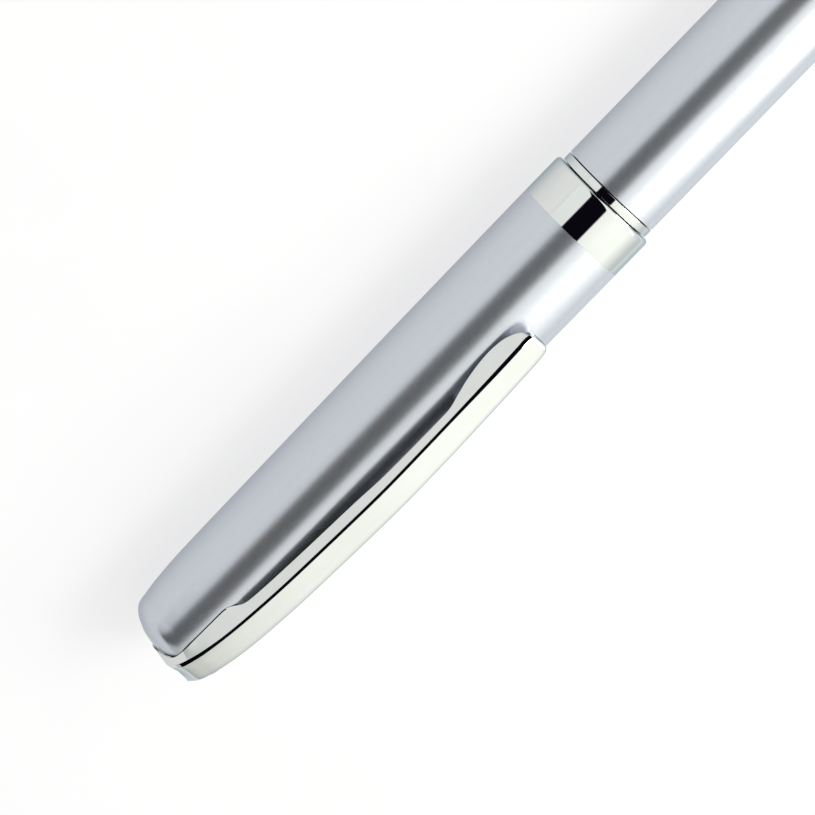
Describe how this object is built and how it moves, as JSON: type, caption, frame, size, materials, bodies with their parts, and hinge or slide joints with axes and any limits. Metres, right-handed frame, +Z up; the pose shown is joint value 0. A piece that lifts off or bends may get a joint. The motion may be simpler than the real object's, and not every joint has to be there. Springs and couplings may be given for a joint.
{
  "type": "technical pen",
  "caption": "Capped technical drawing pen in satin and polished metal, with a sprung pocket clip, a pull-off cap, a screw-in tubular drawing point and a screw-on barrel over an ink cartridge.",
  "frame": {"origin": "under the middle of the capped pen, on the surface it lies on", "axes": "+X along the pen towards the crown of the cap, +Y to the side, +Z up through the clip"},
  "size_m": [0.14, 0.0126, 0.0157],
  "materials": {
    "satin_metal": "fine satin",
    "polished_metal": "mirror polish",
    "plain_steel": "machined",
    "brass": "machined",
    "liner_plastic": "moulded",
    "seal_rubber": "moulded",
    "grip_metal": "fine knurl",
    "code_colour": "gloss",
    "point_plastic": "gloss",
    "cartridge_plastic": "translucent",
    "ink": "wet"
  },
  "bodies": {
    "grip": {"grip_sleeve": "grip_metal", "colour_ring": "code_colour", "grip_collar": "polished_metal"},
    "point_seal": {"point_o_ring": "seal_rubber"},
    "point": {"point_holder": "point_plastic", "point_shoulder": "plain_steel", "point_tube": "plain_steel", "feed_comb": "point_plastic", "point_retainer": "point_plastic", "cartridge_spigot": "point_plastic"},
    "needle": {"cleaning_wire": "plain_steel", "wire_weight": "plain_steel"},
    "cartridge": {"cartridge_neck": "point_plastic", "ink_cartridge": "cartridge_plastic", "ink_charge": "ink"},
    "barrel_seal": {"barrel_o_ring": "seal_rubber"},
    "barrel": {"barrel_shell": "satin_metal", "barrel_bush": "brass", "end_plug": "polished_metal"},
    "cap_catch": {"snap_ring": "plain_steel"},
    "cap": {"cap_shell": "satin_metal", "cap_lip_band": "polished_metal", "crown_button": "polished_metal", "cap_core": "brass", "core_screw": "plain_steel", "clip_pin": "plain_steel", "clip_spring": "plain_steel", "inner_cap": "liner_plastic", "seal_pad": "seal_rubber", "mouth_seal": "seal_rubber"},
    "clip": {"clip": "polished_metal"}
  },
  "joints": [
    {"name": "cap_pull", "type": "slide", "parent": "grip", "child": "cap_catch", "axis": [1, 0, 0], "range_m": [0, 0.06]},
    {"name": "cap_turn", "type": "hinge", "parent": "cap_catch", "child": "cap", "pos_m": [0.03, 0, 0.0063], "axis": [1, 0, 0], "continuous": true},
    {"name": "clip_lift", "type": "hinge", "parent": "cap", "child": "clip", "pos_m": [0.065, 0, 0.0089], "axis": [0, 1, 0], "range_deg": [0, 3.4], "stiffness_Nm_per_rad": 2.8, "springref_deg": -1.72, "deforming": ["clip_spring"]},
    {"name": "point_travel", "type": "slide", "parent": "grip", "child": "point_seal", "axis": [1, 0, 0], "range_m": [0, 0.003]},
    {"name": "point_turn", "type": "hinge", "parent": "point_seal", "child": "point", "pos_m": [0.033, 0, 0.0063], "axis": [1, 0, 0], "range_deg": [0, 1440]},
    {"name": "needle_travel", "type": "slide", "parent": "point", "child": "needle", "axis": [-1, 0, 0], "range_m": [0, 0.001]},
    {"name": "cartridge_pull", "type": "slide", "parent": "point", "child": "cartridge", "axis": [-1, 0, 0], "range_m": [0, 0.01]},
    {"name": "barrel_travel", "type": "slide", "parent": "grip", "child": "barrel_seal", "axis": [-1, 0, 0], "range_m": [0, 0.008]},
    {"name": "barrel_turn", "type": "hinge", "parent": "barrel_seal", "child": "barrel", "pos_m": [0, 0, 0.0063], "axis": [-1, 0, 0], "range_deg": [0, 2880]}
  ],
  "couplings": [
    {"joint": "point_turn", "follows": "point_travel", "rad_per_m": 8377.5},
    {"joint": "barrel_turn", "follows": "barrel_travel", "rad_per_m": 6283.1}
  ]
}
